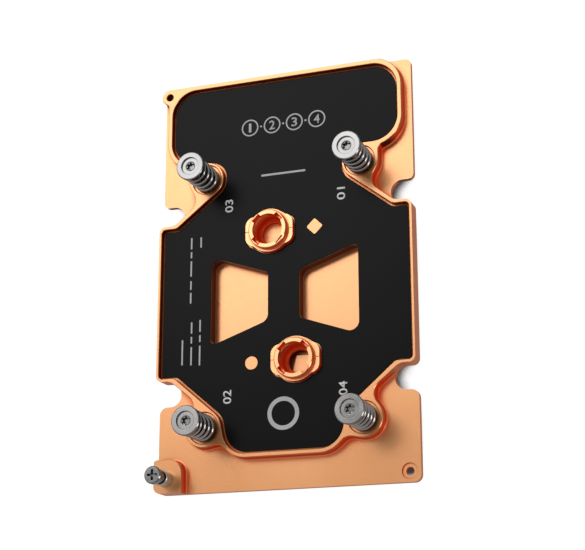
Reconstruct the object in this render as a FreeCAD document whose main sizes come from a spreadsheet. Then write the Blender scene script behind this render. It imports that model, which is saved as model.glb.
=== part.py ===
import FreeCAD, Part
import math
import os
import Sketcher
from FreeCAD import Vector

# Liquid cooling cold plate: a copper lid with a raised manifold housing,
# soldered to a finned copper base, with a black face label, two port collars,
# four spring-loaded captive screws and one captive corner screw.
# Frame: X across the plate, Y along it (port end with the single ear is +Y),
# Z up. The origin is the middle of the footprint, on the contact face.

os.makedirs("parts", exist_ok=True)

doc = FreeCAD.newDocument("cold_plate")
sheet = doc.addObject("Spreadsheet::Sheet", "Sizes")

SIZES = [
    # name, value in millimetres, what it is
    ("plate_width", 102.0, "overall width, X"),
    ("plate_length", 162.0, "overall length, Y"),
    ("centre_y", -8.35, "middle of the screw pattern and contact area"),
    ("level_under", 5.0, "underside of the flange"),
    ("level_flange", 7.2, "top of the flange"),
    ("level_seat", 9.0, "floor of the label recess"),
    ("level_label", 9.8, "top of the face label"),
    ("level_well", 10.7, "floor of the spring wells"),
    ("level_rim", 11.5, "top of the housing rim, pad and ear"),
    ("level_port", 13.5, "top of the port collars"),
    ("level_head", 28.0, "top of the captive screw heads"),
    ("foot_fillet", 0.6, "fillet where the housing meets the flange"),
    ("edge_break", 0.2, "broken edges of the rim"),
    ("trim_over", 0.5, "overshoot trimmed away by the outline"),
    ("screw_x", 31.2, "captive screw axis, X"),
    ("screw_pitch_y", 98.1, "captive screw spacing, Y"),
    ("boss_outer", 7.35, "screw boss, outer side"),
    ("boss_inner", 7.0, "screw boss, recess side"),
    ("well_radius", 6.0, "spring well"),
    ("screw_bore", 3.03, "hole for the captive screw"),
    ("base_width", 76.0, "contact block, X"),
    ("base_length", 82.0, "contact block, Y"),
    ("base_corner", 3.0, "contact block corner radius"),
    ("tray_floor", 2.0, "floor of the fin tray"),
    ("tray_margin", 5.0, "wall round the fin tray"),
    ("seat_margin", 3.0, "wall round the cover plate"),
    ("cover_thick", 0.8, "manifold cover plate"),
    ("cover_gap", 0.05, "clearance round the cover plate"),
    ("slot_width", 3.2, "inlet opening in the cover, across"),
    ("slot_length", 8.0, "inlet opening in the cover, along"),
    ("slot_offset", 3.7, "inlet opening, offset from the port axis"),
    ("fin_thick", 0.4, "skived fin thickness"),
    ("fin_pitch", 1.0, "skived fin pitch"),
    ("fin_count", 47.0, "skived fins"),
    ("fin_length", 33.0, "skived fin length, Y"),
    ("port_x", 5.19, "port axis offset, X"),
    ("port_dy", 25.43, "port axis offset from centre_y, Y"),
    ("port_bore", 6.0, "port bore radius"),
    ("port_throat", 4.5, "throat radius below the ledge"),
    ("port_ledge", 6.5, "level of the ledge in the port"),
    ("port_ring", 7.6, "outer radius of the collar ring"),
    ("port_spigot", 7.2, "radius of the part soldered into the lid"),
    ("port_hole", 7.25, "hole in the lid for the port"),
    ("notch_width", 3.7, "bayonet notch width"),
    ("notch_reach", 7.0, "bayonet notch, distance from the axis"),
    ("notch_deep", 2.0, "bayonet notch depth"),
    ("label_gap", 0.8, "gap between label and housing wall"),
    ("port_gap", 0.35, "gap between label and port collar"),
    ("window_in", 6.15, "window, edge near the centre line"),
    ("window_out", 29.65, "window, outer edge"),
    ("window_half", 12.5, "window half height at X = 15"),
    ("window_slope", 0.352, "slope of the window's long edges"),
    ("window_inset", 0.05, "lid opening inside the label opening"),
    ("marker_x", 12.65, "port marker offset, X"),
    ("marker_r", 2.5, "round port marker radius"),
    ("marker_hole", 2.62, "label hole round the round marker"),
    ("marker_half", 3.25, "diamond port marker, half diagonal"),
    ("marker_top", 9.9, "top of the port markers"),
    ("head_radius", 5.6, "captive screw head"),
    ("head_thick", 1.6, "captive screw head thickness"),
    ("face_radius", 3.5, "dished face of the head"),
    ("face_deep", 0.7, "depth of the dished face"),
    ("drive_deep", 1.5, "depth of the six-lobe recess"),
    ("drive_across", 3.35, "six-lobe recess across its points, T15"),
    ("drive_lead", 2.0, "radius of the recess's lead-in cone"),
    ("drive_lead_deep", 0.25, "depth of the lead-in cone"),
    ("pilot_radius", 3.55, "spring pilot under the head"),
    ("pilot_len", 1.2, "spring pilot length"),
    ("shank_radius", 2.95, "captive screw shank"),
    ("groove_radius", 2.3, "groove for the retaining ring"),
    ("groove_low", 4.2, "lower side of the groove"),
    ("collar_low", 3.4, "lower side of the collar below the groove"),
    ("thread_radius", 1.75, "M3.5 thread, plain major diameter"),
    ("tip_level", 0.6, "end of the thread"),
    ("clip_thick", 0.7, "retaining ring thickness"),
    ("clip_outer", 4.4, "retaining ring outer radius"),
    ("clip_bore", 2.35, "retaining ring inner radius"),
    ("clip_mouth", 3.8, "retaining ring opening"),
    ("spring_mean", 4.42, "spring mean radius"),
    ("spring_wire", 0.8, "spring wire radius"),
    ("spring_turns", 4.0, "spring turns"),
    ("end_gap", 0.04, "gap left at each end of a spring"),
    ("ear_x", -47.8, "ear hole, X"),
    ("ear_y", 77.8, "ear hole, Y"),
    ("ear_radius", 3.2, "ear radius"),
    ("ear_hole", 1.45, "ear hole radius"),
    ("spot_x", 46.75, "spot-faced corner hole, X"),
    ("spot_y", -77.0, "spot-faced corner hole, Y"),
    ("spot_hole", 1.5, "spot-faced corner hole radius"),
    ("spot_face", 2.95, "spot face radius"),
    ("spot_deep", 0.7, "spot face depth"),
    ("stud_x", -46.2, "corner screw axis, X"),
    ("stud_y", -75.6, "corner screw axis, Y"),
    ("pad_right", -39.7, "corner pad, right side"),
    ("pad_top", -68.4, "corner pad, upper side"),
    ("ferrule_hole", 2.6, "hole in the corner pad"),
    ("ferrule_outer", 3.0, "ferrule collar radius"),
    ("ferrule_top", 16.2, "top of the ferrule"),
    ("ferrule_bore", 2.55, "ferrule bore"),
    ("ferrule_floor", 6.6, "floor of the ferrule bore"),
    ("ferrule_exit", 1.6, "hole in the ferrule floor"),
    ("stud_head", 3.35, "corner screw head radius"),
    ("stud_top", 22.9, "top of the corner screw head"),
    ("stud_head_low", 20.3, "underside of the corner screw head"),
    ("stud_sleeve", 2.22, "corner screw shoulder radius"),
    ("stud_sleeve_low", 12.2, "lower end of the shoulder"),
    ("stud_thread", 1.5, "M3 thread, plain major diameter"),
    ("stud_neck", 1.2, "groove of the corner screw"),
    ("stud_tip", 1.6, "end of the corner screw"),
    ("stud_spring_mean", 1.9, "corner spring mean radius"),
    ("stud_spring_wire", 0.3, "corner spring wire radius"),
    ("stud_spring_turns", 3.5, "corner spring turns"),
    ("stud_clip_outer", 2.3, "corner retaining ring outer radius"),
    ("stud_clip_bore", 1.25, "corner retaining ring inner radius"),
    ("stud_clip_thick", 0.5, "corner retaining ring thickness"),
    ("cross_half", 2.0, "cross recess half length"),
    ("cross_width", 0.9, "cross recess arm width"),
    ("cross_deep", 1.1, "cross recess depth"),
]
for row, (name, value, note) in enumerate(SIZES, start=1):
    sheet.set("A%d" % row, name)
    sheet.set("B%d" % row, repr(value))
    sheet.set("C%d" % row, note)
    sheet.setAlias("B%d" % row, name)
doc.recompute()


def size(name):
    return float(sheet.get(name))


# ---------------------------------------------------------------- outlines
# An outline is a belt round a list of discs (x, y, radius, turn), taken
# clockwise. turn is +1 where the outline bulges outwards round the disc and
# -1 where it hollows inwards round it.

def belt(discs):
    n = len(discs)
    runs = []
    for i in range(n):
        x1, y1, r1, s1 = discs[i]
        x2, y2, r2, s2 = discs[(i + 1) % n]
        gap = complex(x2 - x1, y2 - y1)
        k = s2 * r2 - s1 * r1
        reach = math.sqrt(max(abs(gap) ** 2 - k * k, 0.0))
        way = gap * complex(reach, k)
        way = way / abs(way)
        left = way * 1j
        a = complex(x1, y1) + s1 * r1 * left
        b = complex(x2, y2) + s2 * r2 * left
        if reach < 1e-3:
            a = b = (a + b) / 2
        runs.append((a, b))
    shapes = []
    for i in range(n):
        x, y, r, s = discs[i]
        start = runs[i - 1][1]
        end = runs[i][0]
        if r > 1e-6 and abs(end - start) > 1e-5:
            c = complex(x, y)
            a0 = math.atan2((start - c).imag, (start - c).real)
            a1 = math.atan2((end - c).imag, (end - c).real)
            if s > 0:
                while a1 > a0:
                    a1 -= 2 * math.pi
            else:
                while a1 < a0:
                    a1 += 2 * math.pi
            am = (a0 + a1) / 2
            mid = c + r * complex(math.cos(am), math.sin(am))
            shapes.append(("arc", start, mid, end))
        a, b = runs[i]
        if abs(b - a) > 1e-5:
            shapes.append(("line", a, b))
    return shapes


def mirrored(discs):
    return [(-x, y, r, s) for x, y, r, s in reversed(discs)]


def grown(discs, by):
    return [(x, y, r + s * by, s) for x, y, r, s in discs]


def shifted(discs, dx, dy):
    return [(x + dx, y + dy, r, s) for x, y, r, s in discs]


def box_discs(x0, x1, y0, y1, r):
    return [(x0 + r, y1 - r, r, 1), (x1 - r, y1 - r, r, 1),
            (x1 - r, y0 + r, r, 1), (x0 + r, y0 + r, r, 1)]


def v(p, z=0.0):
    return Vector(p.real, p.imag, z)


# ---------------------------------------------------------------- features
def origin_part(body, role):
    for item in body.Origin.OriginFeatures:
        if item.Role == role:
            return item
    raise RuntimeError(role)


def new_body(label):
    body = doc.addObject("PartDesign::Body", label)
    body.Label = label
    return body


def new_sketch(body, name, level=None, role="XY_Plane"):
    sk = body.newObject("Sketcher::SketchObject", name)
    sk.AttachmentSupport = [(origin_part(body, role), "")]
    sk.MapMode = "FlatFace"
    if level is not None:
        sk.setExpression("AttachmentOffset.Base.z", level)
    return sk


def add_belt(sk, discs):
    for item in belt(discs):
        if item[0] == "line":
            sk.addGeometry(Part.LineSegment(v(item[1]), v(item[2])), False)
        else:
            sk.addGeometry(Part.Arc(v(item[1]), v(item[2]), v(item[3])), False)


def add_circle(sk, x, y, alias, xs=None, ys=None):
    # a circle whose radius, and centre where named, follow the sheet
    i = sk.addGeometry(Part.Circle(Vector(x, y, 0), Vector(0, 0, 1), size(alias)), False)
    c = sk.addConstraint(Sketcher.Constraint("Radius", i, size(alias)))
    sk.setExpression("Constraints[%d]" % c, "Sizes." + alias)
    if xs:
        if abs(x) > 1e-9:
            c = sk.addConstraint(Sketcher.Constraint("DistanceX", -1, 1, i, 3, x))
            sk.setExpression("Constraints[%d]" % c, xs)
        c = sk.addConstraint(Sketcher.Constraint("DistanceY", -1, 1, i, 3, y))
        sk.setExpression("Constraints[%d]" % c, ys)
    else:
        if abs(x) < 1e-9 and abs(y) < 1e-9:
            sk.addConstraint(Sketcher.Constraint("Coincident", i, 3, -1, 1))
    return i


def add_polygon(sk, pts):
    n = len(pts)
    first = None
    for i in range(n):
        a, b = pts[i], pts[(i + 1) % n]
        g = sk.addGeometry(Part.LineSegment(Vector(a[0], a[1], 0), Vector(b[0], b[1], 0)), False)
        if first is None:
            first = g
    for i in range(n):
        sk.addConstraint(Sketcher.Constraint("Coincident", first + i, 2, first + (i + 1) % n, 1))


def pad(body, sk, name, length):
    f = body.newObject("PartDesign::Pad", name)
    f.Profile = (sk, [""])
    f.setExpression("Length", length)
    doc.recompute()
    return f


def pocket(body, sk, name, length):
    before = body.Shape.Volume
    f = body.newObject("PartDesign::Pocket", name)
    f.Profile = (sk, [""])
    f.Type = 0
    f.setExpression("Length", length)
    doc.recompute()
    after = body.Shape.Volume
    if not after < before - 1e-3:
        raise RuntimeError("%s removed nothing (%f, %f)" % (name, before, after))
    return f


def edges_where(shape, test):
    names = []
    for i, e in enumerate(shape.Edges, start=1):
        if test(e):
            names.append("Edge%d" % i)
    return names


def level_edge(e, z, tol=1e-4):
    bb = e.BoundBox
    return abs(bb.ZMin - z) < tol and abs(bb.ZMax - z) < tol


# ---------------------------------------------------------------- key places
W2 = size("plate_width") / 2
L2 = size("plate_length") / 2
CY = size("centre_y")
SX = size("screw_x")
SY1 = CY + size("screw_pitch_y") / 2
SY2 = CY - size("screw_pitch_y") / 2
PX = size("port_x")
PDY = size("port_dy")
OVER = size("trim_over")

SCREWS = [
    ("1", SX, SY1, "Sizes.screw_x", "Sizes.centre_y + Sizes.screw_pitch_y / 2"),
    ("2", -SX, SY2, "-Sizes.screw_x", "Sizes.centre_y - Sizes.screw_pitch_y / 2"),
    ("3", -SX, SY1, "-Sizes.screw_x", "Sizes.centre_y + Sizes.screw_pitch_y / 2"),
    ("4", SX, SY2, "Sizes.screw_x", "Sizes.centre_y - Sizes.screw_pitch_y / 2"),
]
PORTS = [
    ("inlet_port", -PX, CY + PDY, "-Sizes.port_x", "Sizes.centre_y + Sizes.port_dy"),
    ("outlet_port", PX, CY - PDY, "Sizes.port_x", "Sizes.centre_y - Sizes.port_dy"),
]

# plate outline, right-hand half from the top corner to the bottom corner:
# corner, notch mouth, notch end, full-height side, notch end, notch mouth, corner
NOTCH_UP = 27.75
NOTCH_LOW = -43.15
plate_right = [
    (W2 - 2.2, L2 - 2.2, 2.2, 1),
    (W2 - 2.2, NOTCH_UP + 4.6 + 2.2, 2.2, 1),
    (46.65, NOTCH_UP, 4.6, -1),
    (W2 - 2.6, NOTCH_UP - 4.6 - 2.6, 2.6, 1),
    (W2 - 2.4, NOTCH_LOW + 4.55 + 2.4, 2.4, 1),
    (46.65, NOTCH_LOW, 4.55, -1),
    (W2 - 3.0, NOTCH_LOW - 4.55 - 3.0, 3.0, 1),
    (W2 - 2.7, -L2 + 2.7, 2.7, 1),
]
plate_left = mirrored(plate_right)
plate_left[-1] = (size("ear_x"), size("ear_y"), size("ear_radius"), 1)
plate_outline = plate_right + plate_left

# housing outline; where the wall is flush with the plate it overshoots
BO = size("boss_outer")
housing_right = [
    (36.4, L2 - 11.7 + OVER, 11.7, 1),
    (36.45, 57.5, 11.65, 1),
    (SX + BO + 2.5, 44.1, 2.5, -1),
    (SX, SY1, BO, 1),
    (40.8, 32.8, 4.95, -1),
    (45.5, 26.6 + OVER, 3.5, -1),
    (W2 - 2.6 + OVER, 20.5 + OVER, 2.6, 1),
    (W2 - 2.4 + OVER, -36.2 - OVER, 2.4, 1),
    (45.9, -42.1 - OVER, 3.5, -1),
    (40.4, -49.0, 5.05, -1),
    (SX, SY2, BO, 1),
    (26.15, -68.75, 4.8, -1),
    (14.3, -58.4, 10.9, 1),
]
housing_left = mirrored(housing_right)[:-2] + [
    (-36.45, 57.5, 11.65, 1),
    (-48.1 - 1.5, 73.46, 1.5, -1),
    (size("ear_x") - OVER, size("ear_y") + OVER, size("ear_radius"), 1),
]
housing_outline = housing_right + housing_left

# label recess
BI = size("boss_inner")
recess_right = [
    (36.45, 69.35, 10.0, 1),
    (36.45, 57.65, 10.0, 1),
    (SX, SY1, BI, -1),
    (44.8, 25.0, 3.0, -1),
    (48.4, 20.4, 1.6, 1),
    (48.4, -35.9, 1.6, 1),
    (44.7, -40.5, 3.0, -1),
    (SX, SY2, BI, -1),
    (14.3, -58.4, 9.4, 1),
]
recess_outline = recess_right + mirrored(recess_right)

pad_outline = [
    (-W2 - OVER + 1.8, size("pad_top") - 1.8, 1.8, 1),
    (size("pad_right") - 5.0, size("pad_top") - 5.0, 5.0, 1),
    (size("pad_right") - 0.6, -L2 - OVER + 0.6, 0.6, 1),
    (-W2 - OVER + 1.8, -L2 - OVER + 1.8, 1.8, 1),
]


# windows: trapeziums with two large and two small corner radii
def window(side, inset=0.0):
    xi = size("window_in") + inset
    xo = size("window_out") - inset
    m = size("window_slope")
    h15 = size("window_half") - inset * math.sqrt(1 + m * m)

    def half(x):
        return h15 + m * (x - 15.0)

    def corner(x, up, r, inner):
        # disc of radius r touching the upright edge and the sloping edge
        cx = x + r if inner else x - r
        cy = half(cx) - r * math.sqrt(1 + m * m)
        return (cx, cy if up else -cy, r, 1)

    big, small = 3.5 - inset, 2.1 - inset
    right = [corner(xi, True, big, True), corner(xo, True, small, False),
             corner(xo, False, big, False), corner(xi, False, small, True)]
    discs = [(x, CY + y, r, s) for x, y, r, s in right]
    if side < 0:
        discs = [(-x, 2 * CY - y, r, s) for x, y, r, s in discs]
    return discs


# port flange: a disc with an ear on each side
port_right = [
    (0.0, 0.0, 8.5, 1),
    (7.8, 8.5, 3.0, -1),
    (5.75, 2.2, 3.8, 1),
    (5.75, -2.2, 3.8, 1),
    (7.8, -8.5, 3.0, -1),
]
port_outline = port_right + [(-x, -y, r, s) for x, y, r, s in port_right]

# ---------------------------------------------------------------- base plate
base = new_body("base_plate")
bw, bl = size("base_width") / 2, size("base_length") / 2
sk = new_sketch(base, "base_outline")
add_belt(sk, box_discs(-bw, bw, CY - bl, CY + bl, size("base_corner")))
pad(base, sk, "base_block", "Sizes.level_under")
mg = size("seat_margin")
sk = new_sketch(base, "cover_seat_outline", "Sizes.level_under")
add_belt(sk, box_discs(-bw + mg, bw - mg, CY - bl + mg, CY + bl - mg, 2.0))
pocket(base, sk, "cover_seat", "Sizes.cover_thick")
mg = size("tray_margin")
sk = new_sketch(base, "tray_outline", "Sizes.level_under - Sizes.cover_thick")
add_belt(sk, box_discs(-bw + mg, bw - mg, CY - bl + mg, CY + bl - mg, 1.5))
pocket(base, sk, "fin_tray", "Sizes.level_under - Sizes.cover_thick - Sizes.tray_floor")
fx = -size("fin_pitch") * (size("fin_count") - 1) / 2
ft, fl = size("fin_thick") / 2, size("fin_length") / 2
sk = new_sketch(base, "fin_outline", "Sizes.tray_floor")
add_polygon(sk, [(fx - ft, CY - fl), (fx + ft, CY - fl), (fx + ft, CY + fl), (fx - ft, CY + fl)])
fin = pad(base, sk, "fin", "Sizes.level_under - Sizes.cover_thick - Sizes.tray_floor")
before = base.Shape.Volume
fins = base.newObject("PartDesign::LinearPattern", "fins")
fins.Originals = [fin]
fins.Direction = (sk, ["H_Axis"])
fins.setExpression("Length", "Sizes.fin_pitch * (Sizes.fin_count - 1)")
fins.Occurrences = int(size("fin_count"))
base.Tip = fins
doc.recompute()
if not base.Shape.Volume > before + 100:
    raise RuntimeError("fin pattern added nothing")
bottom = edges_where(fins.Shape, lambda e: level_edge(e, 0.0))
ch = base.newObject("PartDesign::Chamfer", "base_edge")
ch.Base = (fins, bottom)
ch.Size = 0.5
base.Tip = ch
doc.recompute()

# ---------------------------------------------------------------- cover plate
cover = new_body("manifold_cover")
mg = size("seat_margin") + size("cover_gap")
sk = new_sketch(cover, "cover_outline", "Sizes.level_under - Sizes.cover_thick")
add_belt(sk, box_discs(-bw + mg, bw - mg, CY - bl + mg, CY + bl - mg, 2.0))
pad(cover, sk, "cover_sheet", "Sizes.cover_thick")
sk = new_sketch(cover, "cover_slots_outline", "Sizes.level_under")
for name, px, py, ex, ey in PORTS:
    hw, hl = size("slot_width") / 2, size("slot_length") / 2
    if name == "inlet_port":
        # a slot across the lower right of the throat, over the end of the fins
        off, turn = size("slot_offset"), math.radians(-40.0)
        c, s = math.cos(turn), math.sin(turn)
        corners = [(off - hw, hl), (off + hw, hl), (off + hw, -hl), (off - hw, -hl)]
        corners = [(x * c - y * s, x * s + y * c) for x, y in corners]
    else:
        # the outlet opening is an L round the upper left of the throat
        corners = [(-5.3, 5.3), (5.3, 5.3), (5.3, 2.4), (-1.5, 2.6), (-2.9, -2.2), (-3.4, -5.0), (-5.3, -5.0)]
    add_polygon(sk, [(px + x, py + y) for x, y in corners])
pocket(cover, sk, "cover_slots", "Sizes.cover_thick")

# ---------------------------------------------------------------- lid
lid = new_body("lid")
sk = new_sketch(lid, "flange_blank_outline", "Sizes.level_under")
add_belt(sk, box_discs(-W2 - 8, W2 + 8, -L2 - 8, L2 + 8, 2.0))
pad(lid, sk, "flange_blank", "Sizes.level_flange - Sizes.level_under")
sk = new_sketch(lid, "housing_outline", "Sizes.level_flange")
add_belt(sk, housing_outline)
add_belt(sk, pad_outline)
house = pad(lid, sk, "housing", "Sizes.level_rim - Sizes.level_flange")
zf = size("level_flange")
foot = edges_where(house.Shape, lambda e: level_edge(e, zf)
                   and abs(e.BoundBox.XMin) < W2 + 7 and abs(e.BoundBox.XMax) < W2 + 7
                   and abs(e.BoundBox.YMin) < L2 + 7 and abs(e.BoundBox.YMax) < L2 + 7)
fil = lid.newObject("PartDesign::Fillet", "housing_foot")
fil.Base = (house, foot)
fil.setExpression("Radius", "Sizes.foot_fillet")
lid.Tip = fil
doc.recompute()
zr = size("level_rim")
ch = lid.newObject("PartDesign::Chamfer", "housing_edge")
ch.Base = (fil, edges_where(fil.Shape, lambda e: level_edge(e, zr)))
ch.setExpression("Size", "Sizes.edge_break")
lid.Tip = ch
doc.recompute()
sk = new_sketch(lid, "trim_outline", "Sizes.level_rim + 1")
add_belt(sk, box_discs(-W2 - 12, W2 + 12, -L2 - 12, L2 + 12, 2.0))
add_belt(sk, plate_outline)
pocket(lid, sk, "plate_trim", "Sizes.level_rim - Sizes.level_under + 2")
sk = new_sketch(lid, "recess_outline", "Sizes.level_rim")
add_belt(sk, recess_outline)
pocket(lid, sk, "label_recess", "Sizes.level_rim - Sizes.level_seat")
sk = new_sketch(lid, "wells_outline", "Sizes.level_rim")
for n, x, y, ex, ey in SCREWS:
    add_circle(sk, x, y, "well_radius", ex, ey)
pocket(lid, sk, "spring_wells", "Sizes.level_rim - Sizes.level_well")
sk = new_sketch(lid, "screw_bores_outline", "Sizes.level_well")
for n, x, y, ex, ey in SCREWS:
    add_circle(sk, x, y, "screw_bore", ex, ey)
pocket(lid, sk, "screw_bores", "Sizes.level_well - Sizes.level_under")
sk = new_sketch(lid, "windows_outline", "Sizes.level_seat")
for side in (1, -1):
    add_belt(sk, window(side, size("window_inset")))
pocket(lid, sk, "windows", "Sizes.level_seat - Sizes.level_under")
sk = new_sketch(lid, "port_holes_outline", "Sizes.level_seat")
for name, px, py, ex, ey in PORTS:
    add_circle(sk, px, py, "port_hole", ex, ey)
pocket(lid, sk, "port_holes", "Sizes.level_seat - Sizes.level_under")
sk = new_sketch(lid, "markers_outline", "Sizes.level_seat")
mx, mh = size("marker_x"), size("marker_half")
add_belt(sk, [(mx, CY + PDY + mh - 0.85, 0.6, 1), (mx + mh - 0.85, CY + PDY, 0.6, 1),
              (mx, CY + PDY - mh + 0.85, 0.6, 1), (mx - mh + 0.85, CY + PDY, 0.6, 1)])
add_circle(sk, -mx, CY - PDY, "marker_r", "-Sizes.marker_x", "Sizes.centre_y - Sizes.port_dy")
pad(lid, sk, "port_markers", "Sizes.marker_top - Sizes.level_seat")
# ear hole, spot-faced corner hole, ferrule hole
sk = new_sketch(lid, "ear_hole_outline", "Sizes.level_rim")
add_circle(sk, size("ear_x"), size("ear_y"), "ear_hole", "Sizes.ear_x", "Sizes.ear_y")
add_circle(sk, size("stud_x"), size("stud_y"), "ferrule_hole", "Sizes.stud_x", "Sizes.stud_y")
pocket(lid, sk, "corner_holes", "Sizes.level_rim - Sizes.level_under")
sk = new_sketch(lid, "spot_face_outline", "Sizes.level_flange")
add_circle(sk, size("spot_x"), size("spot_y"), "spot_face", "Sizes.spot_x", "Sizes.spot_y")
pocket(lid, sk, "spot_face", "Sizes.spot_deep")
sk = new_sketch(lid, "spot_hole_outline", "Sizes.level_flange")
add_circle(sk, size("spot_x"), size("spot_y"), "spot_hole", "Sizes.spot_x", "Sizes.spot_y")
spot = pocket(lid, sk, "spot_hole", "Sizes.level_flange - Sizes.level_under")

# broken edges round the recess, the wells and the corner holes
rim_edges = []
for g in Part.sortEdges([e for e in spot.Shape.Edges if level_edge(e, zr)]):
    bb = Part.Compound(g).BoundBox
    round_hole = len(g) == 1 and abs(bb.XLength - bb.YLength) < 1e-3
    recess_edge = len(g) == len(belt(recess_outline))
    if round_hole or recess_edge:
        rim_edges += edges_where(spot.Shape, lambda e: any(e.isSame(q) for q in g))
ch = lid.newObject("PartDesign::Chamfer", "recess_edge")
ch.Base = (spot, rim_edges)
ch.setExpression("Size", "Sizes.edge_break")
lid.Tip = ch
doc.recompute()

# ---------------------------------------------------------------- face label
label = new_body("face_label")
gap = size("label_gap")
sk = new_sketch(label, "label_outline", "Sizes.level_seat")
add_belt(sk, grown(recess_outline, -gap))
pad(label, sk, "label_sheet", "Sizes.level_label - Sizes.level_seat")
sk = new_sketch(label, "label_openings", "Sizes.level_label")
for side in (1, -1):
    add_belt(sk, window(side))
for name, px, py, ex, ey in PORTS:
    add_belt(sk, shifted(grown(port_outline, size("port_gap")), px, py))
add_belt(sk, grown([(mx, CY + PDY + mh - 0.85, 0.6, 1), (mx + mh - 0.85, CY + PDY, 0.6, 1),
                    (mx, CY + PDY - mh + 0.85, 0.6, 1), (mx - mh + 0.85, CY + PDY, 0.6, 1)], 0.12))
add_circle(sk, -mx, CY - PDY, "marker_hole", "-Sizes.marker_x", "Sizes.centre_y - Sizes.port_dy")
pocket(label, sk, "openings", "Sizes.level_label - Sizes.level_seat")

# ---------------------------------------------------------------- ports
for name, px, py, ex, ey in PORTS:
    body = new_body(name)
    sk = new_sketch(body, name + "_spigot_outline", "Sizes.level_under")
    add_circle(sk, 0, 0, "port_spigot")
    pad(body, sk, name + "_spigot", "Sizes.level_seat - Sizes.level_under")
    sk = new_sketch(body, name + "_flange_outline", "Sizes.level_seat")
    add_belt(sk, port_outline)
    pad(body, sk, name + "_flange", "Sizes.level_rim - Sizes.level_seat")
    sk = new_sketch(body, name + "_ring_outline", "Sizes.level_rim")
    add_circle(sk, 0, 0, "port_ring")
    pad(body, sk, name + "_ring", "Sizes.level_port - Sizes.level_rim")
    f = edges_where(body.Shape, lambda e: level_edge(e, size("level_rim"))
                    and e.BoundBox.XLength < 2 * size("port_ring") + 0.1
                    and abs(e.BoundBox.XMax) < 7.7 and e.BoundBox.XLength > 14)
    ring = body.Tip
    fl_ = body.newObject("PartDesign::Fillet", name + "_ring_foot")
    fl_.Base = (ring, f)
    fl_.Radius = 0.2
    body.Tip = fl_
    doc.recompute()
    sk = new_sketch(body, name + "_bore_outline", "Sizes.level_port")
    add_circle(sk, 0, 0, "port_bore")
    pocket(body, sk, name + "_bore", "Sizes.level_port - Sizes.port_ledge")
    sk = new_sketch(body, name + "_throat_outline", "Sizes.port_ledge")
    add_circle(sk, 0, 0, "port_throat")
    pocket(body, sk, name + "_throat", "Sizes.port_ledge - Sizes.level_under")
    lip = edges_where(body.Shape, lambda e: level_edge(e, size("port_ledge"))
                      and abs(math.hypot(e.Vertexes[0].X, e.Vertexes[0].Y) - size("port_throat")) < 1e-3)
    throat = body.Tip
    ch = body.newObject("PartDesign::Chamfer", name + "_throat_lip")
    ch.Base = (throat, lip)
    ch.Size = 0.3
    body.Tip = ch
    doc.recompute()
    sk = new_sketch(body, name + "_notch_outline", "Sizes.level_port")
    nw, nr = size("notch_width") / 2, size("notch_reach")
    c, s = math.cos(math.pi / 4), math.sin(math.pi / 4)
    ring = [(4.5, -nw), (nr, -nw), (nr, nw), (4.5, nw)]
    add_polygon(sk, [(x * c - y * s, x * s + y * c) for x, y in ring])
    one = pocket(body, sk, name + "_notch", "Sizes.notch_deep")
    before = body.Shape.Volume
    pat = body.newObject("PartDesign::PolarPattern", name + "_notches")
    pat.Originals = [one]
    pat.Axis = (sk, ["N_Axis"])
    pat.Angle = 360
    pat.Occurrences = 4
    body.Tip = pat
    doc.recompute()
    if not body.Shape.Volume < before - 1:
        raise RuntimeError("notch pattern")
    # a scribed tick on each ear marks the collar's joint line
    sk = new_sketch(body, name + "_tick_outline", "Sizes.level_rim")
    for d in (1, -1):
        add_polygon(sk, [(d * 8.3, -0.11), (d * 9.8, -0.11), (d * 9.8, 0.11), (d * 8.3, 0.11)])
    pocket(body, sk, name + "_ticks", "0.15")
    top = edges_where(body.Shape, lambda e: level_edge(e, size("level_port"))
                      and abs(math.hypot(e.Vertexes[0].X, e.Vertexes[0].Y) - size("port_ring")) < 1e-3)
    ticked = body.Tip
    ch = body.newObject("PartDesign::Chamfer", name + "_ring_edge")
    ch.Base = (ticked, top)
    ch.Size = 0.25
    body.Tip = ch
    doc.recompute()
    body.setExpression("Placement.Base.x", ex)
    body.setExpression("Placement.Base.y", ey)


# ---------------------------------------------------------------- captive screws
def six_lobe():
    # six lobes on the given size across points, with hollows between them
    k = size("drive_across") / 3.95
    discs = []
    for i in range(6):
        a = math.radians(90 - 60 * i)
        discs.append((1.575 * k * math.cos(a), 1.575 * k * math.sin(a), 0.4 * k, 1))
        a = math.radians(60 - 60 * i)
        discs.append((2.0 * k * math.cos(a), 2.0 * k * math.sin(a), 0.6 * k, -1))
    return discs


def turned(body, name, profile):
    # a solid of revolution about Z from (radius, level) points
    sk = new_sketch(body, name + "_profile", role="XZ_Plane")
    add_polygon(sk, profile)
    rev = body.newObject("PartDesign::Revolution", name + "_turned")
    rev.Profile = (sk, [""])
    rev.ReferenceAxis = (sk, ["V_Axis"])
    rev.Angle = 360
    doc.recompute()
    return rev


def ring_clip(label, level, thick, outer, bore, mouth, ex, ey, turn):
    body = new_body(label)
    sk = new_sketch(body, label + "_outline", level)
    add_circle(sk, 0, 0, outer)
    add_circle(sk, 0, 0, bore)
    pad(body, sk, label + "_ring", thick)
    sk = new_sketch(body, label + "_mouth_outline", "%s + %s" % (level, thick))
    m2 = mouth / 2
    add_polygon(sk, [(0.0, -m2), (9.0, -m2), (9.0, m2), (0.0, m2)])
    pocket(body, sk, label + "_mouth", thick)
    body.setExpression("Placement.Base.x", ex)
    body.setExpression("Placement.Base.y", ey)
    body.Placement.Rotation = FreeCAD.Rotation(Vector(0, 0, 1), turn)
    return body


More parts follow.
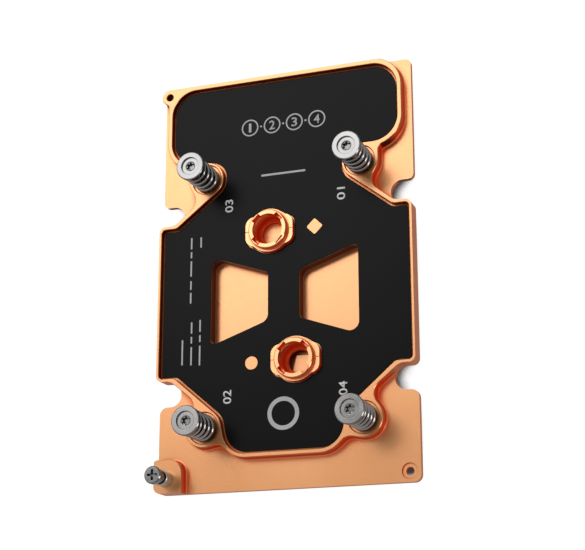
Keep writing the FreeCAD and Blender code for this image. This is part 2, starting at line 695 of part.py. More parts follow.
def coil(label, mean, wire, turns, low, high, ex, ey, turn):
    helix = doc.addObject("Part::Helix", label + "_path")
    helix.setExpression("Height", "%s - %s - 2 * Sizes.%s - 2 * Sizes.end_gap" % (high, low, wire))
    helix.setExpression("Pitch", "(%s - %s - 2 * Sizes.%s - 2 * Sizes.end_gap) / Sizes.%s" % (high, low, wire, turns))
    helix.setExpression("Radius", "Sizes." + mean)
    helix.SegmentLength = 1.0
    ring = doc.addObject("Part::Circle", label + "_wire")
    ring.setExpression("Radius", "Sizes." + wire)
    ring.setExpression("Placement.Base.x", "Sizes." + mean)
    ring.Placement = FreeCAD.Placement(Vector(size(mean), 0, 0), FreeCAD.Rotation(Vector(1, 0, 0), 90))
    doc.recompute()
    sweep = doc.addObject("Part::Sweep", label)
    sweep.Label = label
    sweep.Sections = [ring]
    sweep.Spine = (helix, ["Edge%d" % (i + 1) for i in range(len(helix.Shape.Edges))])
    sweep.Solid = True
    sweep.Frenet = True
    sweep.setExpression("Placement.Base.x", ex)
    sweep.setExpression("Placement.Base.y", ey)
    sweep.setExpression("Placement.Base.z", "%s + Sizes.%s + Sizes.end_gap" % (low, wire))
    sweep.Placement.Rotation = FreeCAD.Rotation(Vector(0, 0, 1), turn)
    doc.recompute()
    return sweep


zh = size("level_head")
zu = size("level_under")
nodes = [base, cover, lid, label] + [doc.getObject(p[0]) for p in PORTS]
for n, x, y, ex, ey in SCREWS:
    name = "captive_screw_" + n
    body = new_body(name)
    hr, ht = size("head_radius"), size("head_thick")
    pr, pl = size("pilot_radius"), size("pilot_len")
    sr, gr = size("shank_radius"), size("groove_radius")
    gl, cl, tr, tip = size("groove_low"), size("collar_low"), size("thread_radius"), size("tip_level")
    turned(body, name, [
        (0, tip), (tr - 0.5, tip), (tr, tip + 0.5), (tr, cl), (sr, cl), (sr, gl), (gr, gl),
        (gr, zu), (sr, zu), (sr, zh - ht - pl), (pr, zh - ht - pl), (pr, zh - ht),
        (hr - 0.25, zh - ht), (hr, zh - ht + 0.25), (hr, zh - 0.35), (hr - 0.35, zh), (0, zh)])
    sk = new_sketch(body, name + "_dish_outline", "Sizes.level_head")
    add_circle(sk, 0, 0, "face_radius")
    pocket(body, sk, name + "_dish", "Sizes.face_deep")
    sk = new_sketch(body, name + "_drive_outline", "Sizes.level_head - Sizes.face_deep")
    add_belt(sk, six_lobe())
    pocket(body, sk, name + "_drive", "Sizes.drive_deep")
    zd = zh - size("face_deep")
    sk = new_sketch(body, name + "_lead_profile", role="XZ_Plane")
    add_polygon(sk, [(0, zd + 0.01), (size("drive_lead") + 0.01, zd + 0.01),
                     (size("drive_lead"), zd), (1.45, zd - size("drive_lead_deep")), (0, zd - size("drive_lead_deep"))])
    before = body.Shape.Volume
    lead = body.newObject("PartDesign::Groove", name + "_lead_in")
    lead.Profile = (sk, [""])
    lead.ReferenceAxis = (sk, ["V_Axis"])
    lead.Angle = 360
    doc.recompute()
    if not body.Shape.Volume < before - 0.1:
        raise RuntimeError("lead-in cone")
    body.setExpression("Placement.Base.x", ex)
    body.setExpression("Placement.Base.y", ey)
    nodes.append(body)
for n, x, y, ex, ey in SCREWS:
    nodes.append(coil("captive_spring_" + n, "spring_mean", "spring_wire", "spring_turns",
                      "Sizes.level_well", "(Sizes.level_head - Sizes.head_thick)", ex, ey, 60.0))
for n, x, y, ex, ey in SCREWS:
    nodes.append(ring_clip("retaining_ring_" + n, "(Sizes.groove_low + 0.05)", "Sizes.clip_thick",
                           "clip_outer", "clip_bore", size("clip_mouth"), ex, ey, 30.0))

# ---------------------------------------------------------------- corner screw
ferrule = new_body("corner_ferrule")
fh, fo, ft_ = size("ferrule_hole"), size("ferrule_outer"), size("ferrule_top")
fb, ff, fe = size("ferrule_bore"), size("ferrule_floor"), size("ferrule_exit")
turned(ferrule, "corner_ferrule", [
    (fe, zu + 0.4), (fh - 0.02, zu + 0.4), (fh - 0.02, zr), (fo, zr), (fo, ft_ - 0.3), (fo - 0.3, ft_),
    (fb, ft_), (fb, ff), (fe, ff)])
nodes.append(ferrule)
stud = new_body("corner_screw")
kt, kl, kh = size("stud_top"), size("stud_head_low"), size("stud_head")
ks, kz, kr, kn, kb = (size("stud_sleeve"), size("stud_sleeve_low"), size("stud_thread"),
                      size("stud_neck"), size("stud_tip"))
gz = zu + 0.4 - 0.05 - size("stud_clip_thick") - 0.05
turned(stud, "corner_screw", [
    (0, kb), (kr - 0.4, kb), (kr, kb + 0.4), (kr, gz), (kn, gz), (kn, zu + 0.4), (kr, zu + 0.4),
    (kr, kz), (ks, kz), (ks, kl), (kh - 0.2, kl), (kh, kl + 0.2), (kh, kt - 0.5), (kh - 0.5, kt), (0, kt)])
sk = new_sketch(stud, "corner_screw_cross_outline", "Sizes.stud_top")
cw, chh = size("cross_width") / 2, size("cross_half")
add_polygon(sk, [(-cw, chh), (cw, chh), (cw, cw), (chh, cw), (chh, -cw), (cw, -cw),
                 (cw, -chh), (-cw, -chh), (-cw, -cw), (-chh, -cw), (-chh, cw), (-cw, cw)])
pocket(stud, sk, "corner_screw_cross", "Sizes.cross_deep")
nodes.append(stud)
for body in (ferrule, stud):
    body.setExpression("Placement.Base.x", "Sizes.stud_x")
    body.setExpression("Placement.Base.y", "Sizes.stud_y")
nodes.append(coil("corner_spring", "stud_spring_mean", "stud_spring_wire", "stud_spring_turns",
                  "Sizes.ferrule_floor", "Sizes.stud_sleeve_low", "Sizes.stud_x", "Sizes.stud_y", 0.0))
nodes.append(ring_clip("corner_retaining_ring", "(Sizes.level_under + 0.4 - 0.05 - Sizes.stud_clip_thick)",
                       "Sizes.stud_clip_thick", "stud_clip_outer", "stud_clip_bore", 1.9,
                       "Sizes.stud_x", "Sizes.stud_y", 200.0))

# ---------------------------------------------------------------- checks and export
doc.recompute()
for obj in doc.Objects:
    if "Invalid" in obj.State or "Error" in obj.State:
        raise RuntimeError("%s is %s" % (obj.Label, obj.State))
total = 0.0
for obj in nodes:
    shape = obj.Shape
    if shape.isNull() or not shape.isValid():
        raise RuntimeError(obj.Label + " has no valid shape")
    if len(shape.Solids) != 1:
        raise RuntimeError("%s has %d solids" % (obj.Label, len(shape.Solids)))
    b = shape.BoundBox
    total += shape.Volume
    print("%-22s volume %9.1f  x %7.2f %7.2f  y %7.2f %7.2f  z %6.2f %6.2f" % (
        obj.Label, shape.Volume, b.XMin, b.XMax, b.YMin, b.YMax, b.ZMin, b.ZMax))
for obj in nodes:
    obj.Shape.exportStep("parts/" + obj.Label + ".step")
print("nodes %d, volume %.1f" % (len(nodes), total))
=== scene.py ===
import bpy, bmesh, math
from mathutils import Vector, Matrix


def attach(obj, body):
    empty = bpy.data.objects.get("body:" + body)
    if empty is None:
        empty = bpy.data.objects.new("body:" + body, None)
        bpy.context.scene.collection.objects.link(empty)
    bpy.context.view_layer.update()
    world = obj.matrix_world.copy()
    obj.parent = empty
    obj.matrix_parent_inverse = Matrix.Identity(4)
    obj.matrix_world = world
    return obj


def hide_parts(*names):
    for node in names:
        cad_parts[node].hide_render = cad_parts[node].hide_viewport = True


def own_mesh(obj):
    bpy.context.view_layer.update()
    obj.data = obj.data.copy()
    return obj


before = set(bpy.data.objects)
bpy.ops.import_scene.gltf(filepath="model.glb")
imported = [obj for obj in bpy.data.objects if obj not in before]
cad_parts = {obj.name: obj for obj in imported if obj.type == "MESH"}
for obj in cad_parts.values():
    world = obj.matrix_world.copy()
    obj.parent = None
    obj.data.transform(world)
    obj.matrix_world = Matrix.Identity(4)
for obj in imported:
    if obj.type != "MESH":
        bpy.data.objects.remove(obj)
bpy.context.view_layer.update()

scene = bpy.context.scene
MM = 0.001


# ------------------------------------------------------------------ colours
def lin(r, g, b):
    out = []
    for c in (r, g, b):
        c = c / 255.0
        out.append(c / 12.92 if c <= 0.04045 else ((c + 0.055) / 1.055) ** 2.4)
    return tuple(out) + (1.0,)


# ------------------------------------------------------------------ camera
cam_data = bpy.data.cameras.new("camera")
cam = bpy.data.objects.new("camera", cam_data)
scene.collection.objects.link(cam)
cam_data.sensor_fit = "HORIZONTAL"
cam_data.sensor_width = 36.0
cam_data.lens = 90.10
cam_data.clip_start = 0.01
cam_data.clip_end = 20.0
cx = Vector((0.93924724, -0.00200641, -0.34323547))
cy = Vector((0.09882285, 0.95922163, 0.26481675))
cz = Vector((0.32870756, -0.28264791, 0.90114455))
m = Matrix.Identity(4)
for i in range(3):
    m[i][0], m[i][1], m[i][2] = cx[i], cy[i], cz[i]
m[0][3], m[1][3], m[2][3] = 0.184595, -0.156734, 0.505616
cam.matrix_world = m
scene.camera = cam

# ------------------------------------------------------------------ colour management
scene.view_settings.view_transform = "Standard"
scene.view_settings.look = "None"
scene.view_settings.exposure = 0.0
scene.view_settings.gamma = 1.0


# ------------------------------------------------------------------ node helpers
class Mat:
    def __init__(self, name):
        self.mat = bpy.data.materials.new(name)
        self.mat.use_nodes = True
        self.nt = self.mat.node_tree
        self.nt.nodes.clear()
        self.out = self.nt.nodes.new("ShaderNodeOutputMaterial")
        self.bsdf = self.nt.nodes.new("ShaderNodeBsdfPrincipled")
        self.nt.links.new(self.bsdf.outputs[0], self.out.inputs[0])
        self.coord = self.nt.nodes.new("ShaderNodeTexCoord")

    def node(self, kind, **props):
        n = self.nt.nodes.new(kind)
        for k, v in props.items():
            setattr(n, k, v)
        return n

    def link(self, a, b):
        self.nt.links.new(a, b)

    def set(self, name, value):
        self.bsdf.inputs[name].default_value = value

    def mapping(self, scale, rotation=(0, 0, 0), location=(0, 0, 0)):
        n = self.node("ShaderNodeMapping")
        n.inputs["Scale"].default_value = scale
        n.inputs["Rotation"].default_value = rotation
        n.inputs["Location"].default_value = location
        self.link(self.coord.outputs["Object"], n.inputs["Vector"])
        return n.outputs[0]

    def noise(self, vec, scale, detail=4.0, rough=0.55, dist=0.0):
        n = self.node("ShaderNodeTexNoise")
        n.inputs["Scale"].default_value = scale
        n.inputs["Detail"].default_value = detail
        n.inputs["Roughness"].default_value = rough
        n.inputs["Distortion"].default_value = dist
        self.link(vec, n.inputs["Vector"])
        return n.outputs["Fac"]

    def ramp(self, fac, stops):
        n = self.node("ShaderNodeValToRGB")
        els = n.color_ramp.elements
        while len(els) < len(stops):
            els.new(0.5)
        for e, (p, c) in zip(els, stops):
            e.position = p
            e.color = c if len(c) == 4 else tuple(c) + (1.0,)
        self.link(fac, n.inputs["Fac"])
        return n.outputs["Color"]

    def remap(self, fac, a, b, c, d, clamp=True):
        n = self.node("ShaderNodeMapRange", clamp=clamp)
        for k, v in zip(("From Min", "From Max", "To Min", "To Max"), (a, b, c, d)):
            n.inputs[k].default_value = v
        self.link(fac, n.inputs["Value"])
        return n.outputs["Result"]

    def math(self, op, a, b=None, c=None):
        n = self.node("ShaderNodeMath", operation=op)
        for i, v in enumerate((a, b, c)):
            if v is None:
                continue
            if isinstance(v, (int, float)):
                n.inputs[i].default_value = v
            else:
                self.link(v, n.inputs[i])
        return n.outputs[0]

    def mix(self, fac, a, b, blend="MIX"):
        n = self.node("ShaderNodeMix", data_type="RGBA", blend_type=blend)
        for key, v in ((0, fac), (6, a), (7, b)):
            if isinstance(v, (int, float, tuple)):
                n.inputs[key].default_value = v
            else:
                self.link(v, n.inputs[key])
        return n.outputs[2]

    def bump(self, height, strength, distance, normal=None):
        n = self.node("ShaderNodeBump")
        n.inputs["Strength"].default_value = strength
        n.inputs["Distance"].default_value = distance
        self.link(height, n.inputs["Height"])
        if normal is not None:
            self.link(normal, n.inputs["Normal"])
        return n.outputs["Normal"]

    def bevel(self, radius, samples=6):
        n = self.node("ShaderNodeBevel", samples=samples)
        n.inputs["Radius"].default_value = radius
        return n.outputs["Normal"]

    def level(self):
        g = self.node("ShaderNodeNewGeometry")
        n = self.node("ShaderNodeSeparateXYZ")
        self.link(g.outputs["Normal"], n.inputs[0])
        return self.math("ABSOLUTE", n.outputs[2])

    def ao(self, distance, samples=8, inside=False, local=False):
        n = self.node("ShaderNodeAmbientOcclusion", samples=samples, inside=inside, only_local=local)
        n.inputs["Distance"].default_value = distance
        return n.outputs["AO"]


# ------------------------------------------------------------------ materials
def copper(name, bright=(243, 173, 114), deep=(234, 157, 98), rough=(0.27, 0.36), bevel=0.00010, reach=0.007, local=True, corner=0.24, inner=False, hollow_shade=(190, 22, 5)):
    s = Mat(name)
    cloud = s.noise(s.mapping((1, 1, 1)), 26.0, 5.0, 0.6, 0.3)
    fine = s.noise(s.mapping((1, 1, 1)), 900.0, 3.0, 0.6)
    mill = s.noise(s.mapping((60, 900, 60)), 6.0, 3.0, 0.6)
    tone = s.ramp(s.math("ADD", s.math("MULTIPLY", cloud, 0.75), s.math("MULTIPLY", mill, 0.25)),
                  [(0.32, lin(*deep)), (0.68, lin(*bright))])
    # painted bounce light and shade: light that has bounced between copper walls comes back deep red, and that red is
    # painted into the colour; upright surfaces take it readily, level ones only deep in a corner
    up = s.level()
    cav = s.ao(reach, 16, local=local)
    if local:
        # the painted shade on walls also darkens towards the other pieces below them
        flat = s.remap(up, 0.35, 0.8, 0.0, 1.0)
        near = s.ao(reach, 16)
        cav = s.math("ADD", s.math("MULTIPLY", cav, flat), s.math("MULTIPLY", near, s.math("SUBTRACT", 1.0, flat)))
    # edge mask for the painted highlight on sharp outer edges
    edge_highlight = s.ao(0.0006, 6, True)
    start = s.math("SUBTRACT", 0.97, s.remap(up, 0.75, 0.98, 0.0, corner))
    shade = s.math("MULTIPLY", s.math("SUBTRACT", start, cav), 3.2)
    shade = s.math("MINIMUM", s.math("MAXIMUM", shade, 0.0), 1.0)
    # painted bounce light: deep red on upright faces, a lighter orange-red on level ones
    glow = s.mix(s.remap(up, 0.4, 0.9, 0.0, 1.0), lin(240, 55, 14), lin(250, 100, 38))
    tone = s.mix(shade, tone, glow, "MIX")
    # painted shade: the deepest hollows turn a dark red
    tone = s.mix(s.remap(cav, 0.50, 0.12, 0.0, 1.0), tone, lin(*hollow_shade), "MIX")
    # painted highlight: sharp outer edges lightened towards a pale peach
    tone = s.mix(s.remap(edge_highlight, 0.30, 0.7, 0.18, 0.0), tone, lin(255, 196, 150), "MIX")
    if inner:
        # painted shade: walls that face into the housing or a window look onto the black sheet or into a dark pocket,
        # so little light comes back from them, and they are painted near black-red
        g = s.node("ShaderNodeNewGeometry")
        heading = s.node("ShaderNodeVectorMath", operation="NORMALIZE")
        s.link(s.mapping((1, 1, 0)), heading.inputs[0])
        facing = s.node("ShaderNodeVectorMath", operation="DOT_PRODUCT")
        s.link(heading.outputs[0], facing.inputs[0])
        s.link(g.outputs["Normal"], facing.inputs[1])
        inward = s.remap(facing.outputs["Value"], 0.0, -0.3, 0.0, 1.0)
        place = s.node("ShaderNodeSeparateXYZ")
        s.link(s.mapping((1, 1, 1), location=(0, 0.00835, 0)), place.inputs[0])
        # the corner pad stands by itself in the open
        inward = s.math("MULTIPLY", inward, s.math("GREATER_THAN", place.outputs[1], -0.0575))
        window = s.math("MULTIPLY", s.math("LESS_THAN", s.math("ABSOLUTE", place.outputs[0]), 0.031),
                        s.math("LESS_THAN", s.math("ABSOLUTE", place.outputs[1]), 0.021))
        wall = s.math("MULTIPLY", s.math("MAXIMUM", inward, window), s.remap(up, 0.35, 0.7, 1.0, 0.0))
        tone = s.mix(s.math("MULTIPLY", wall, 0.93), tone, lin(34, 5, 3))
    s.link(tone, s.bsdf.inputs["Base Color"])
    # the deep places, where the shade is painted, are made duller and scatter more of the light
    s.link(s.remap(shade, 0.0, 1.0, 1.0, 0.12), s.bsdf.inputs["Metallic"])
    s.set("Specular IOR Level", 0.15)
    s.set("Specular Tint", lin(255, 150, 90))
    s.link(s.remap(shade, 0.0, 0.8, 0.75, 0.0), s.bsdf.inputs["Coat Weight"])
    s.set("Coat Roughness", 0.2)
    s.set("Coat IOR", 1.7)
    r = s.math("ADD", s.remap(cloud, 0.3, 0.7, rough[0], rough[1]), s.remap(fine, 0.2, 0.8, -0.03, 0.03))
    s.link(r, s.bsdf.inputs["Roughness"])
    n = s.bump(fine, 0.10, 0.00004, s.bevel(bevel))
    n = s.bump(mill, 0.06, 0.00005, n)
    s.link(n, s.bsdf.inputs["Normal"])
    return s.mat


def sheet_black(name):
    s = Mat(name)
    v = s.mapping((1, 1, 1))
    cloud = s.noise(v, 18.0, 4.0, 0.6)
    grain = s.noise(v, 2600.0, 3.0, 0.65)
    tone = s.ramp(s.math("ADD", s.math("MULTIPLY", cloud, 0.7), s.math("MULTIPLY", grain, 0.3)),
                  [(0.3, lin(5, 5, 5)), (0.7, lin(9, 9, 9))])
    s.link(tone, s.bsdf.inputs["Base Color"])
    s.link(s.remap(s.math("ADD", s.math("MULTIPLY", cloud, 0.5), s.math("MULTIPLY", grain, 0.5)), 0.3, 0.7, 0.28, 0.36),
           s.bsdf.inputs["Roughness"])
    s.set("Specular IOR Level", 0.12)
    s.link(s.bump(grain, 0.12, 0.00003, s.bevel(0.00008)), s.bsdf.inputs["Normal"])
    return s.mat


def steel(name, light=(174, 173, 172), dark=(144, 143, 142), rough=(0.16, 0.26), reach=0.002, shade=(0.25, 0.72), thread=None, bevel=0.0002):
    s = Mat(name)
    v = s.mapping((1, 1, 1))
    cloud = s.noise(v, 160.0, 4.0, 0.6)
    fine = s.noise(s.mapping((1, 1, 1)), 2400.0, 2.0, 0.6)
    lines = s.noise(s.mapping((30, 30, 3000)), 1.0, 2.0, 0.6)
    tone = s.ramp(s.math("ADD", s.math("MULTIPLY", cloud, 0.6), s.math("MULTIPLY", lines, 0.4)),
                  [(0.3, lin(*dark)), (0.7, lin(*light))])
    cav = s.ao(reach, 16)
    # painted shade: recesses and the gaps between coils go near black
    tone = s.mix(s.remap(cav, shade[0], shade[1], 0.95, 0.0), tone, lin(14, 14, 15), "MIX")
    s.link(tone, s.bsdf.inputs["Base Color"])
    s.set("Metallic", 1.0)
    s.link(s.math("ADD", s.remap(cloud, 0.3, 0.7, rough[0], rough[1]), s.remap(fine, 0.2, 0.8, -0.03, 0.03)),
           s.bsdf.inputs["Roughness"])
    n = s.bump(fine, 0.08, 0.00003, s.bevel(bevel))
    n = s.bump(lines, 0.06, 0.00003, n)
    if thread:
        # helical ridges on the threaded end: height follows z / pitch plus the angle round the axis
        sx, sy, zlo, zhi, pitch, rmax = thread
        sep = s.node("ShaderNodeSeparateXYZ")
        s.link(s.mapping((1, 1, 1), location=(-sx, -sy, 0)), sep.inputs[0])
        ang = s.math("DIVIDE", s.math("ARCTAN2", sep.outputs[1], sep.outputs[0]), 2 * math.pi)
        turn = s.math("FRACT", s.math("SUBTRACT", s.math("DIVIDE", sep.outputs[2], pitch), ang))
        tooth = s.math("ABSOLUTE", s.math("SUBTRACT", turn, 0.5))
        mask = s.math("MULTIPLY", s.math("LESS_THAN", sep.outputs[2], zhi), s.math("GREATER_THAN", sep.outputs[2], zlo))
        n = s.bump(s.math("MULTIPLY", tooth, mask), 1.0, 0.0006, n)
    s.link(n, s.bsdf.inputs["Normal"])
    return s.mat


def ink(name, tone=(206, 206, 206)):
    s = Mat(name)
    v = s.mapping((1, 1, 1))
    grain = s.noise(v, 3000.0, 3.0, 0.7)
    cloud = s.noise(v, 200.0, 3.0, 0.6)
    base = s.ramp(s.math("ADD", s.math("MULTIPLY", cloud, 0.4), s.math("MULTIPLY", grain, 0.6)),
                  [(0.25, lin(*(c - 22 for c in tone))), (0.6, lin(*tone))])
    s.link(base, s.bsdf.inputs["Base Color"])
    s.link(s.remap(grain, 0.3, 0.7, 0.5, 0.7), s.bsdf.inputs["Roughness"])
    s.link(s.bump(grain, 0.1, 0.00002), s.bsdf.inputs["Normal"])
    return s.mat


def paint_node(name, mat):
    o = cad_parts[name]
    o.data.materials.clear()
    o.data.materials.append(mat)


M_LID = copper("copper_lid", inner=True)
M_BASE = copper("copper_base", rough=(0.22, 0.34))
M_PORT = copper("copper_port", bright=(245, 176, 118), deep=(236, 160, 102), rough=(0.16, 0.22), bevel=0.00012, corner=0.20, hollow_shade=(218, 40, 13))
M_LABEL = sheet_black("label_black")
M_INK = ink("print_grey")
M_FIGURES = ink("print_white", (248, 248, 248))
M_SPRING = steel("spring_wire", light=(205, 205, 206), dark=(180, 180, 181), rough=(0.09, 0.14), reach=0.003, shade=(0.55, 0.90), bevel=0.00005)
M_RING = steel("ring_steel", light=(150, 150, 152), dark=(110, 110, 112))
M_FERRULE = steel("ferrule_nickel", light=(232, 231, 230), dark=(206, 205, 204), rough=(0.34, 0.44))

SCREW = {"1": (31.2, 40.7), "2": (-31.2, -57.4), "3": (-31.2, 40.7), "4": (31.2, -57.4)}
paint_node("lid", M_LID)
paint_node("manifold_cover", copper("copper_cover", reach=0.0012, local=False))
paint_node("base_plate", M_BASE)
for node in ("inlet_port", "outlet_port"):
    paint_node(node, M_PORT)
paint_node("face_label", M_LABEL)
for n, (x, y) in SCREW.items():
    paint_node("captive_screw_" + n, steel("screw_steel_" + n, thread=(x * MM, y * MM, 0.0007, 0.0033, 0.0006, 0.0018)))
    paint_node("retaining_ring_" + n, M_RING)
paint_node("corner_retaining_ring", M_RING)
paint_node("corner_ferrule", M_FERRULE)
paint_node("corner_screw", steel("corner_steel", thread=(-0.0462, -0.0756, 0.0017, 0.0048, 0.0005, 0.0016)))


# ------------------------------------------------------------------ springs
def add_object(name, mesh, mat):
    o = bpy.data.objects.new(name, mesh)
    scene.collection.objects.link(o)
    mesh.materials.clear()
    mesh.materials.append(mat)
    return o


def spring_mesh(name, x, y, z0, z1, mean, wire, turns, start, seg=22, per=44):
    # a compression spring with closed, ground-flat end turns
    bm = bmesh.new()
    n = int(per * turns)
    h = z1 - z0 - 2 * wire
    pts = []
    for i in range(n + 1):
        t = i / n
        u = t * turns
        # the pitch is closed over the first and last 0.8 turn
        close = 0.8
        dense = 2 * wire * 1.02
        body = turns - 2 * close
        rise = h - 2 * close * dense
        if u < close:
            z = dense * u
        elif u > turns - close:
            z = h - dense * (turns - u)
        else:
            z = dense * close + rise * (u - close) / body
        a = start + 2 * math.pi * u
        pts.append((Vector((x + mean * math.cos(a), y + mean * math.sin(a), z0 + wire + z)), a))
    zs = [p[0].z for p in pts]
    for _ in range(10):
        zs = [zs[0]] + [(zs[k - 1] + 2 * zs[k] + zs[k + 1]) / 4 for k in range(1, n)] + [zs[-1]]
    pts = [(Vector((p.x, p.y, zz)), a) for (p, a), zz in zip(pts, zs)]
    rings = []
    for k, (p, a) in enumerate(pts):
        q = pts[min(k + 1, n)][0] - pts[max(k - 1, 0)][0]
        t = q.normalized()
        out = Vector((math.cos(a), math.sin(a), 0.0))
        up = t.cross(out).normalized()
        out = up.cross(t).normalized()
        ring = []
        for j in range(seg):
            b = 2 * math.pi * j / seg
            w = p + wire * (math.cos(b) * out + math.sin(b) * up)
            w.z = min(max(w.z, z0), z1)
            ring.append(bm.verts.new(w))
        rings.append(ring)
    for k in range(n):
        for j in range(seg):
            bm.faces.new((rings[k][j], rings[k][(j + 1) % seg], rings[k + 1][(j + 1) % seg], rings[k + 1][j]))
    bm.faces.new(list(reversed(rings[0])))
    bm.faces.new(rings[-1])
    bmesh.ops.recalc_face_normals(bm, faces=bm.faces)
    mesh = bpy.data.meshes.new(name)
    bm.to_mesh(mesh)
    bm.free()
    for f in mesh.polygons:
        f.use_smooth = len(f.vertices) == 4
    return mesh


for n, (x, y) in SCREW.items():
    mesh = spring_mesh("coil_" + n, x * MM, y * MM, 0.01074, 0.02636, 0.00442, 0.0008, 4.7, math.radians(60))
    o = add_object("coil_" + n, mesh, M_SPRING)
    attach(o, "plate")
    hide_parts("captive_spring_" + n)
    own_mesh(o)
mesh = spring_mesh("coil_corner", -0.0462, -0.0756, 0.00664, 0.01216, 0.0019, 0.0003, 4.6, 0.0, 14, 32)
o = add_object("coil_corner", mesh, M_SPRING)
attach(o, "plate")
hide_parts("corner_spring")
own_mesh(o)


# ------------------------------------------------------------------ print on the face sheet
TOP = 0.0098


def print_text(name, words, x, y, height, length, bold=0.014, along=True, mat=None):
    cu = bpy.data.curves.new(name, "FONT")
    cu.body = words
    cu.align_x = "CENTER"
    cu.align_y = "CENTER"
    cu.size = 1.0
    cu.extrude = 0.0
    cu.offset = bold
    cu.resolution_u = 6
    o = bpy.data.objects.new(name, cu)
    scene.collection.objects.link(o)
    bpy.context.view_layer.update()
    dg = bpy.context.evaluated_depsgraph_get()
    mesh = bpy.data.meshes.new_from_object(o.evaluated_get(dg))
    bpy.data.objects.remove(o)
    xs = [v.co.x for v in mesh.vertices]
    ys = [v.co.y for v in mesh.vertices]
    sx, sy = length / (max(xs) - min(xs)), height / (max(ys) - min(ys))
    mx, my = (max(xs) + min(xs)) / 2, (max(ys) + min(ys)) / 2
    for v in mesh.vertices:
        u, w = (v.co.x - mx) * sx, (v.co.y - my) * sy
        # reads along +Y, tops of the figures towards -X, or upright
        v.co = Vector((x - w, y + u, 0.0)) if along else Vector((x + u, y + w, 0.0))
    return thicken(name, mesh, mat)


def thicken(name, mesh, mat=None):
    bm = bmesh.new()
    bm.from_mesh(mesh)
    bmesh.ops.remove_doubles(bm, verts=bm.verts, dist=1e-7)
    for v in bm.verts:
        v.co.z = TOP + 0.00003
    geom = bmesh.ops.extrude_face_region(bm, geom=list(bm.faces))
    for e in geom["geom"]:
        if isinstance(e, bmesh.types.BMVert):
            e.co.z = TOP - 0.00002
    bmesh.ops.recalc_face_normals(bm, faces=bm.faces)
    out = bpy.data.meshes.new(name)
    bm.to_mesh(out)
    bm.free()
    o = add_object(name, out, mat or M_INK)
    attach(o, "plate")
    return o


def bars(name, rects, r=0.00012):
    # flat printed bars with slightly rounded corners: (x0, y0, x1, y1) in mm
    bm = bmesh.new()
    for x0, y0, x1, y1 in rects:
        x0, x1 = sorted((x0 * MM, x1 * MM))
        y0, y1 = sorted((y0 * MM, y1 * MM))
        rr = min(r, (x1 - x0) * 0.45, (y1 - y0) * 0.45)
        ring = []
        for cxx, cyy, a0 in ((x1 - rr, y1 - rr, 0), (x0 + rr, y1 - rr, 90), (x0 + rr, y0 + rr, 180), (x1 - rr, y0 + rr, 270)):
            for k in range(5):
                a = math.radians(a0 + 22.5 * k)
                ring.append(bm.verts.new((cxx + rr * math.cos(a), cyy + rr * math.sin(a), 0.0)))
        bm.faces.new(ring)
    mesh = bpy.data.meshes.new(name)
    bm.to_mesh(mesh)
    bm.free()
    return thicken(name, mesh)


print_text("print_3", "03", -22.3 * MM, 29.3 * MM, 3.3 * MM, 5.2 * MM, mat=M_FIGURES)
print_text("print_1", "01", 23.3 * MM, 28.9 * MM, 3.3 * MM, 5.0 * MM, mat=M_FIGURES)
print_text("print_2", "02", -22.3 * MM, -46.0 * MM, 3.3 * MM, 5.2 * MM, mat=M_FIGURES)
print_text("print_4", "04", 23.2 * MM, -46.0 * MM, 3.3 * MM, 5.2 * MM, mat=M_FIGURES)



def rings(name, items):
    # printed circles: (x, y, outer radius, inner radius) in mm
    bm = bmesh.new()
    for x, y, ro, ri in items:
        n = 48
        loops = [[bm.verts.new(((x + r * math.cos(2 * math.pi * k / n)) * MM,
                                (y + r * math.sin(2 * math.pi * k / n)) * MM, 0.0)) for k in range(n)]
                 for r in (ro, ri)]
        for k in range(n):
            bm.faces.new((loops[0][k], loops[0][(k + 1) % n], loops[1][(k + 1) % n], loops[1][k]))
    mesh = bpy.data.meshes.new(name)
    bm.to_mesh(mesh)
    bm.free()
    return thicken(name, mesh)


# the large mark's place holds a plain order-of-tightening row, four numbered circles
row = [-13.8, -4.6, 4.6, 13.8]
rings("order_rings", [(x, 60.6, 3.5, 2.95) for x in row])
bars("order_links", [(a + 4.2, 60.25, b - 4.2, 60.95) for a, b in zip(row, row[1:])])
for k, x in enumerate(row):
    print_text("order_%d" % (k + 1), str(k + 1), x * MM, 60.6 * MM, 3.7 * MM, (1.05 if k == 0 else 2.4) * MM, 0.0 if k == 0 else 0.014, along=False)
# the smaller mark's place holds a plain rule, the foot of the sheet a plain ring
bars("rule", [(-9.0, 39.7, 9.0, 40.5)])
rings("foot_ring", [(0.0, -53.6, 6.2, 4.6)])


# the small text's place holds plain bars of about its length and weight, along Y


def lines(name, x, spans, thick=0.62):
    return bars(name, [(x - thick / 2, y0, x + thick / 2, y1) for y0, y1 in spans])


lines("note_a", -37.9, [(-8.4, -4.1), (-2.9, 0.6), (2.4, 8.6), (9.8, 12.3), (13.4, 18.0)])
lines("note_b", -33.9, [(13.7, 17.9)])
lines("note_c", -41.0, [(-32.4, -22.6)])
lines("note_d", -37.3, [(-32.7, -25.6), (-24.2, -21.6), (-20.3, -15.9)])
lines("note_e", -33.8, [(-33.0, -25.3), (-23.9, -21.2), (-19.9, -15.2)])

# ------------------------------------------------------------------ floor, lights, world
bm = bmesh.new()
bmesh.ops.create_grid(bm, x_segments=1, y_segments=1, size=3.0)
mesh = bpy.data.meshes.new("floor")
bm.to_mesh(mesh)
bm.free()
floor = bpy.data.objects.new("floor", mesh)
scene.collection.objects.link(floor)
s = Mat("floor_pale")
s.set("Base Color", (0.22, 0.22, 0.22, 1.0))
s.set("Roughness", 0.9)
s.set("Specular IOR Level", 0.1)
s.set("Emission Color", (1, 1, 1, 1))
# the pale floor glows evenly, but not underneath the plate: there its glow fades out as a painted shadow
path = s.node("ShaderNodeLightPath")
glow = s.remap(s.ao(0.040, 16), 0.24, 0.38, 0.0, 0.95)
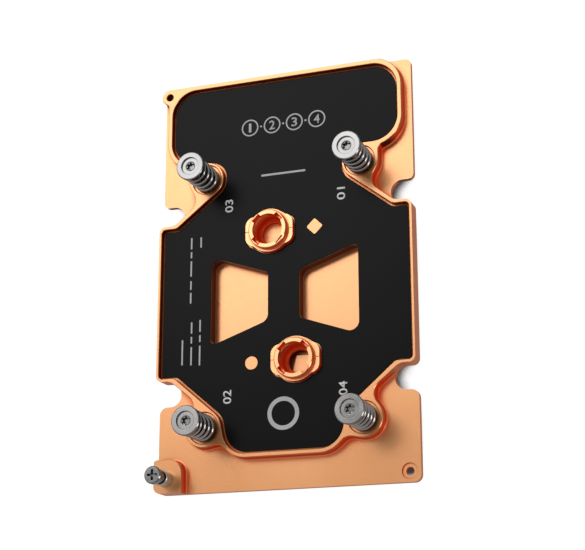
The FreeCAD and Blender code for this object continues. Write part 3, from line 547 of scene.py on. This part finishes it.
# the lower flange overhangs the floor all round, so the floor below it is painted in full shadow
sep = s.node("ShaderNodeSeparateXYZ")
s.link(s.coord.outputs["Object"], sep.inputs[0])
cover = s.remap(s.math("ABSOLUTE", sep.outputs[0]), 0.0462, 0.0492, 1.0, 0.0)
cover = s.math("MULTIPLY", cover, s.remap(sep.outputs[1], -0.0794, -0.0764, 0.0, 1.0))
cover = s.math("MULTIPLY", cover, s.remap(sep.outputs[1], -0.056, -0.052, 1.0, 0.0))
glow = s.math("MULTIPLY", glow, s.math("SUBTRACT", 1.0, cover))
s.link(s.math("MULTIPLY", glow, s.math("ADD", 0.30, s.math("MULTIPLY", path.outputs["Is Camera Ray"], 0.70))),
       s.bsdf.inputs["Emission Strength"])
mesh.materials.append(s.mat)
# a hair below the contact face, so that the two never share a plane
floor.location.z = -0.0001

world = bpy.data.worlds.new("studio")
scene.world = world
world.use_nodes = True
bg = world.node_tree.nodes["Background"]
bg.inputs[0].default_value = (1, 1, 1, 1)
# a soft studio dome: brightest overhead and to the left
wc = world.node_tree.nodes.new("ShaderNodeTexCoord")
wx = world.node_tree.nodes.new("ShaderNodeVectorMath")
wx.operation = "DOT_PRODUCT"
wx.inputs[1].default_value = Vector((-0.55, 0.25, 0.80)).normalized()
wr = world.node_tree.nodes.new("ShaderNodeMapRange")
wr.interpolation_type = "SMOOTHSTEP"
for k, v in zip(("From Min", "From Max", "To Min", "To Max"), (0.05, 1.0, 0.26, 0.55)):
    wr.inputs[k].default_value = v
world.node_tree.links.new(wc.outputs["Generated"], wx.inputs[0])
world.node_tree.links.new(wx.outputs["Value"], wr.inputs["Value"])
world.node_tree.links.new(wr.outputs["Result"], bg.inputs[1])


def softbox(name, direction, distance, size, power, spread=180.0, colour=(1, 1, 1), size_y=None):
    d = Vector(direction).normalized()
    li = bpy.data.lights.new(name, "AREA")
    li.shape = "RECTANGLE"
    li.size = size
    li.size_y = size_y or size
    li.energy = power
    li.color = colour
    li.spread = math.radians(spread)
    o = bpy.data.objects.new(name, li)
    scene.collection.objects.link(o)
    o.location = d * distance
    o.rotation_euler = d.to_track_quat("Z", "Y").to_euler()
    return o


softbox("key", (-0.33, 0.50, 0.79), 1.2, 0.75, 3.1)
softbox("side", (0.84, -0.38, 0.38), 1.0, 0.30, 1.4, size_y=0.5)
